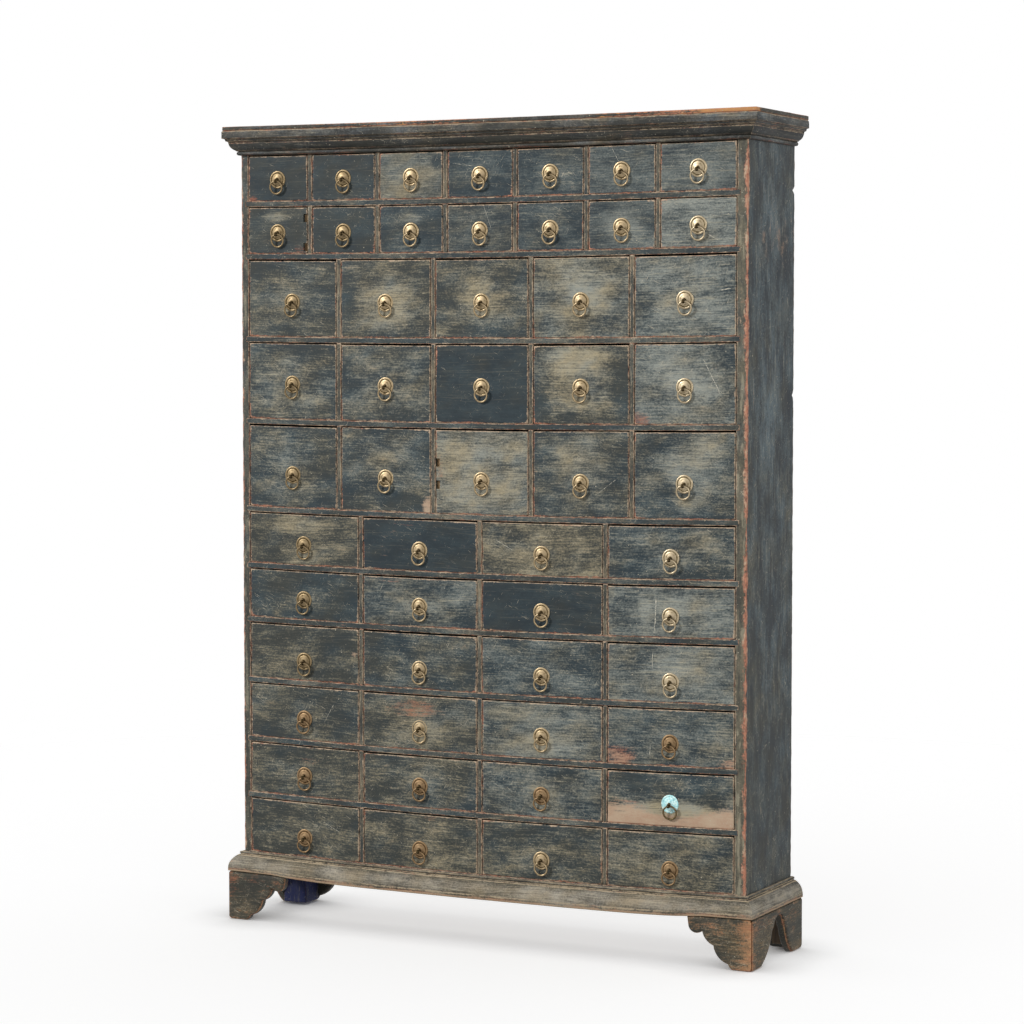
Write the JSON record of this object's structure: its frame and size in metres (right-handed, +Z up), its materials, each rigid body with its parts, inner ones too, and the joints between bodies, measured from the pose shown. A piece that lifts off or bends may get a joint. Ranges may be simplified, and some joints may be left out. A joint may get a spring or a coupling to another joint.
{
  "type": "apothecary chest",
  "caption": "Tall shallow apothecary chest of small dovetailed drawers with ring pulls, in a worn blue-green painted case with a cornice, base moulding and bracket feet.",
  "frame": {"origin": "on the floor, below the centre of the bounding box", "axes": "+Z up, -Y out of the drawer fronts, +X to the viewer's right when facing the drawers"},
  "size_m": [1.21, 0.275, 1.6771],
  "materials": {
    "painted_side": "old blue-green paint, worn, satin",
    "painted_frame": "old blue-green paint worn to olive, edges rubbed to red",
    "painted_drawer": "old blue-green paint, brushed and worn",
    "painted_moulding": "old dark paint rubbed through on its edges",
    "painted_feet": "old dark paint, scuffed",
    "bare_wood": "bare aged pine",
    "brass_pull": "aged stamped brass"
  },
  "bodies": {
    "case": {"case_sides": "painted_side", "shelves": "painted_frame", "partitions": "painted_frame", "back_boards": "bare_wood", "cornice": "painted_moulding", "base_moulding": "painted_moulding", "bracket_feet": "painted_feet"},
    "drawer_r1_c1": {"drawer_r1_c1": "painted_drawer"},
    "drawer_r1_c2": {"drawer_r1_c2": "painted_drawer"},
    "drawer_r1_c3": {"drawer_r1_c3": "painted_drawer"},
    "drawer_r1_c4": {"drawer_r1_c4": "painted_drawer"},
    "drawer_r1_c5": {"drawer_r1_c5": "painted_drawer"},
    "drawer_r1_c6": {"drawer_r1_c6": "painted_drawer"},
    "drawer_r1_c7": {"drawer_r1_c7": "painted_drawer"},
    "drawer_r2_c1": {"drawer_r2_c1": "painted_drawer"},
    "drawer_r2_c2": {"drawer_r2_c2": "painted_drawer"},
    "drawer_r2_c3": {"drawer_r2_c3": "painted_drawer"},
    "drawer_r2_c4": {"drawer_r2_c4": "painted_drawer"},
    "drawer_r2_c5": {"drawer_r2_c5": "painted_drawer"},
    "drawer_r2_c6": {"drawer_r2_c6": "painted_drawer"},
    "drawer_r2_c7": {"drawer_r2_c7": "painted_drawer"},
    "drawer_r3_c1": {"drawer_r3_c1": "painted_drawer"},
    "drawer_r3_c2": {"drawer_r3_c2": "painted_drawer"},
    "drawer_r3_c3": {"drawer_r3_c3": "painted_drawer"},
    "drawer_r3_c4": {"drawer_r3_c4": "painted_drawer"},
    "drawer_r3_c5": {"drawer_r3_c5": "painted_drawer"},
    "drawer_r4_c1": {"drawer_r4_c1": "painted_drawer"},
    "drawer_r4_c2": {"drawer_r4_c2": "painted_drawer"},
    "drawer_r4_c3": {"drawer_r4_c3": "painted_drawer"},
    "drawer_r4_c4": {"drawer_r4_c4": "painted_drawer"},
    "drawer_r4_c5": {"drawer_r4_c5": "painted_drawer"},
    "drawer_r5_c1": {"drawer_r5_c1": "painted_drawer"},
    "drawer_r5_c2": {"drawer_r5_c2": "painted_drawer"},
    "drawer_r5_c3": {"drawer_r5_c3": "painted_drawer"},
    "drawer_r5_c4": {"drawer_r5_c4": "painted_drawer"},
    "drawer_r5_c5": {"drawer_r5_c5": "painted_drawer"},
    "drawer_r6_c1": {"drawer_r6_c1": "painted_drawer"},
    "drawer_r6_c2": {"drawer_r6_c2": "painted_drawer"},
    "drawer_r6_c3": {"drawer_r6_c3": "painted_drawer"},
    "drawer_r6_c4": {"drawer_r6_c4": "painted_drawer"},
    "drawer_r7_c1": {"drawer_r7_c1": "painted_drawer"},
    "drawer_r7_c2": {"drawer_r7_c2": "painted_drawer"},
    "drawer_r7_c3": {"drawer_r7_c3": "painted_drawer"},
    "drawer_r7_c4": {"drawer_r7_c4": "painted_drawer"},
    "drawer_r8_c1": {"drawer_r8_c1": "painted_drawer"},
    "drawer_r8_c2": {"drawer_r8_c2": "painted_drawer"},
    "drawer_r8_c3": {"drawer_r8_c3": "painted_drawer"},
    "drawer_r8_c4": {"drawer_r8_c4": "painted_drawer"},
    "drawer_r9_c1": {"drawer_r9_c1": "painted_drawer"},
    "drawer_r9_c2": {"drawer_r9_c2": "painted_drawer"},
    "drawer_r9_c3": {"drawer_r9_c3": "painted_drawer"},
    "drawer_r9_c4": {"drawer_r9_c4": "painted_drawer"},
    "drawer_r10_c1": {"drawer_r10_c1": "painted_drawer"},
    "drawer_r10_c2": {"drawer_r10_c2": "painted_drawer"},
    "drawer_r10_c3": {"drawer_r10_c3": "painted_drawer"},
    "drawer_r10_c4": {"drawer_r10_c4": "painted_drawer"},
    "drawer_r11_c1": {"drawer_r11_c1": "painted_drawer"},
    "drawer_r11_c2": {"drawer_r11_c2": "painted_drawer"},
    "drawer_r11_c3": {"drawer_r11_c3": "painted_drawer"},
    "drawer_r11_c4": {"drawer_r11_c4": "painted_drawer"}
  },
  "joints": [
    {"name": "drawer_r1_c1_slide", "type": "slide", "parent": "case", "child": "drawer_r1_c1", "axis": [0, -1, 0], "range_m": [0, 0.175]},
    {"name": "drawer_r1_c2_slide", "type": "slide", "parent": "case", "child": "drawer_r1_c2", "axis": [0, -1, 0], "range_m": [0, 0.175]},
    {"name": "drawer_r1_c3_slide", "type": "slide", "parent": "case", "child": "drawer_r1_c3", "axis": [0, -1, 0], "range_m": [0, 0.175]},
    {"name": "drawer_r1_c4_slide", "type": "slide", "parent": "case", "child": "drawer_r1_c4", "axis": [0, -1, 0], "range_m": [0, 0.175]},
    {"name": "drawer_r1_c5_slide", "type": "slide", "parent": "case", "child": "drawer_r1_c5", "axis": [0, -1, 0], "range_m": [0, 0.175]},
    {"name": "drawer_r1_c6_slide", "type": "slide", "parent": "case", "child": "drawer_r1_c6", "axis": [0, -1, 0], "range_m": [0, 0.175]},
    {"name": "drawer_r1_c7_slide", "type": "slide", "parent": "case", "child": "drawer_r1_c7", "axis": [0, -1, 0], "range_m": [0, 0.175]},
    {"name": "drawer_r2_c1_slide", "type": "slide", "parent": "case", "child": "drawer_r2_c1", "axis": [0, -1, 0], "range_m": [0, 0.175]},
    {"name": "drawer_r2_c2_slide", "type": "slide", "parent": "case", "child": "drawer_r2_c2", "axis": [0, -1, 0], "range_m": [0, 0.175]},
    {"name": "drawer_r2_c3_slide", "type": "slide", "parent": "case", "child": "drawer_r2_c3", "axis": [0, -1, 0], "range_m": [0, 0.175]},
    {"name": "drawer_r2_c4_slide", "type": "slide", "parent": "case", "child": "drawer_r2_c4", "axis": [0, -1, 0], "range_m": [0, 0.175]},
    {"name": "drawer_r2_c5_slide", "type": "slide", "parent": "case", "child": "drawer_r2_c5", "axis": [0, -1, 0], "range_m": [0, 0.175]},
    {"name": "drawer_r2_c6_slide", "type": "slide", "parent": "case", "child": "drawer_r2_c6", "axis": [0, -1, 0], "range_m": [0, 0.175]},
    {"name": "drawer_r2_c7_slide", "type": "slide", "parent": "case", "child": "drawer_r2_c7", "axis": [0, -1, 0], "range_m": [0, 0.175]},
    {"name": "drawer_r3_c1_slide", "type": "slide", "parent": "case", "child": "drawer_r3_c1", "axis": [0, -1, 0], "range_m": [0, 0.175]},
    {"name": "drawer_r3_c2_slide", "type": "slide", "parent": "case", "child": "drawer_r3_c2", "axis": [0, -1, 0], "range_m": [0, 0.175]},
    {"name": "drawer_r3_c3_slide", "type": "slide", "parent": "case", "child": "drawer_r3_c3", "axis": [0, -1, 0], "range_m": [0, 0.175]},
    {"name": "drawer_r3_c4_slide", "type": "slide", "parent": "case", "child": "drawer_r3_c4", "axis": [0, -1, 0], "range_m": [0, 0.175]},
    {"name": "drawer_r3_c5_slide", "type": "slide", "parent": "case", "child": "drawer_r3_c5", "axis": [0, -1, 0], "range_m": [0, 0.175]},
    {"name": "drawer_r4_c1_slide", "type": "slide", "parent": "case", "child": "drawer_r4_c1", "axis": [0, -1, 0], "range_m": [0, 0.175]},
    {"name": "drawer_r4_c2_slide", "type": "slide", "parent": "case", "child": "drawer_r4_c2", "axis": [0, -1, 0], "range_m": [0, 0.175]},
    {"name": "drawer_r4_c3_slide", "type": "slide", "parent": "case", "child": "drawer_r4_c3", "axis": [0, -1, 0], "range_m": [0, 0.175]},
    {"name": "drawer_r4_c4_slide", "type": "slide", "parent": "case", "child": "drawer_r4_c4", "axis": [0, -1, 0], "range_m": [0, 0.175]},
    {"name": "drawer_r4_c5_slide", "type": "slide", "parent": "case", "child": "drawer_r4_c5", "axis": [0, -1, 0], "range_m": [0, 0.175]},
    {"name": "drawer_r5_c1_slide", "type": "slide", "parent": "case", "child": "drawer_r5_c1", "axis": [0, -1, 0], "range_m": [0, 0.175]},
    {"name": "drawer_r5_c2_slide", "type": "slide", "parent": "case", "child": "drawer_r5_c2", "axis": [0, -1, 0], "range_m": [0, 0.175]},
    {"name": "drawer_r5_c3_slide", "type": "slide", "parent": "case", "child": "drawer_r5_c3", "axis": [0, -1, 0], "range_m": [0, 0.175]},
    {"name": "drawer_r5_c4_slide", "type": "slide", "parent": "case", "child": "drawer_r5_c4", "axis": [0, -1, 0], "range_m": [0, 0.175]},
    {"name": "drawer_r5_c5_slide", "type": "slide", "parent": "case", "child": "drawer_r5_c5", "axis": [0, -1, 0], "range_m": [0, 0.175]},
    {"name": "drawer_r6_c1_slide", "type": "slide", "parent": "case", "child": "drawer_r6_c1", "axis": [0, -1, 0], "range_m": [0, 0.175]},
    {"name": "drawer_r6_c2_slide", "type": "slide", "parent": "case", "child": "drawer_r6_c2", "axis": [0, -1, 0], "range_m": [0, 0.175]},
    {"name": "drawer_r6_c3_slide", "type": "slide", "parent": "case", "child": "drawer_r6_c3", "axis": [0, -1, 0], "range_m": [0, 0.175]},
    {"name": "drawer_r6_c4_slide", "type": "slide", "parent": "case", "child": "drawer_r6_c4", "axis": [0, -1, 0], "range_m": [0, 0.175]},
    {"name": "drawer_r7_c1_slide", "type": "slide", "parent": "case", "child": "drawer_r7_c1", "axis": [0, -1, 0], "range_m": [0, 0.175]},
    {"name": "drawer_r7_c2_slide", "type": "slide", "parent": "case", "child": "drawer_r7_c2", "axis": [0, -1, 0], "range_m": [0, 0.175]},
    {"name": "drawer_r7_c3_slide", "type": "slide", "parent": "case", "child": "drawer_r7_c3", "axis": [0, -1, 0], "range_m": [0, 0.175]},
    {"name": "drawer_r7_c4_slide", "type": "slide", "parent": "case", "child": "drawer_r7_c4", "axis": [0, -1, 0], "range_m": [0, 0.175]},
    {"name": "drawer_r8_c1_slide", "type": "slide", "parent": "case", "child": "drawer_r8_c1", "axis": [0, -1, 0], "range_m": [0, 0.175]},
    {"name": "drawer_r8_c2_slide", "type": "slide", "parent": "case", "child": "drawer_r8_c2", "axis": [0, -1, 0], "range_m": [0, 0.175]},
    {"name": "drawer_r8_c3_slide", "type": "slide", "parent": "case", "child": "drawer_r8_c3", "axis": [0, -1, 0], "range_m": [0, 0.175]},
    {"name": "drawer_r8_c4_slide", "type": "slide", "parent": "case", "child": "drawer_r8_c4", "axis": [0, -1, 0], "range_m": [0, 0.175]},
    {"name": "drawer_r9_c1_slide", "type": "slide", "parent": "case", "child": "drawer_r9_c1", "axis": [0, -1, 0], "range_m": [0, 0.175]},
    {"name": "drawer_r9_c2_slide", "type": "slide", "parent": "case", "child": "drawer_r9_c2", "axis": [0, -1, 0], "range_m": [0, 0.175]},
    {"name": "drawer_r9_c3_slide", "type": "slide", "parent": "case", "child": "drawer_r9_c3", "axis": [0, -1, 0], "range_m": [0, 0.175]},
    {"name": "drawer_r9_c4_slide", "type": "slide", "parent": "case", "child": "drawer_r9_c4", "axis": [0, -1, 0], "range_m": [0, 0.175]},
    {"name": "drawer_r10_c1_slide", "type": "slide", "parent": "case", "child": "drawer_r10_c1", "axis": [0, -1, 0], "range_m": [0, 0.175]},
    {"name": "drawer_r10_c2_slide", "type": "slide", "parent": "case", "child": "drawer_r10_c2", "axis": [0, -1, 0], "range_m": [0, 0.175]},
    {"name": "drawer_r10_c3_slide", "type": "slide", "parent": "case", "child": "drawer_r10_c3", "axis": [0, -1, 0], "range_m": [0, 0.175]},
    {"name": "drawer_r10_c4_slide", "type": "slide", "parent": "case", "child": "drawer_r10_c4", "axis": [0, -1, 0], "range_m": [0, 0.175]},
    {"name": "drawer_r11_c1_slide", "type": "slide", "parent": "case", "child": "drawer_r11_c1", "axis": [0, -1, 0], "range_m": [0, 0.175]},
    {"name": "drawer_r11_c2_slide", "type": "slide", "parent": "case", "child": "drawer_r11_c2", "axis": [0, -1, 0], "range_m": [0, 0.175]},
    {"name": "drawer_r11_c3_slide", "type": "slide", "parent": "case", "child": "drawer_r11_c3", "axis": [0, -1, 0], "range_m": [0, 0.175]},
    {"name": "drawer_r11_c4_slide", "type": "slide", "parent": "case", "child": "drawer_r11_c4", "axis": [0, -1, 0], "range_m": [0, 0.175]}
  ]
}
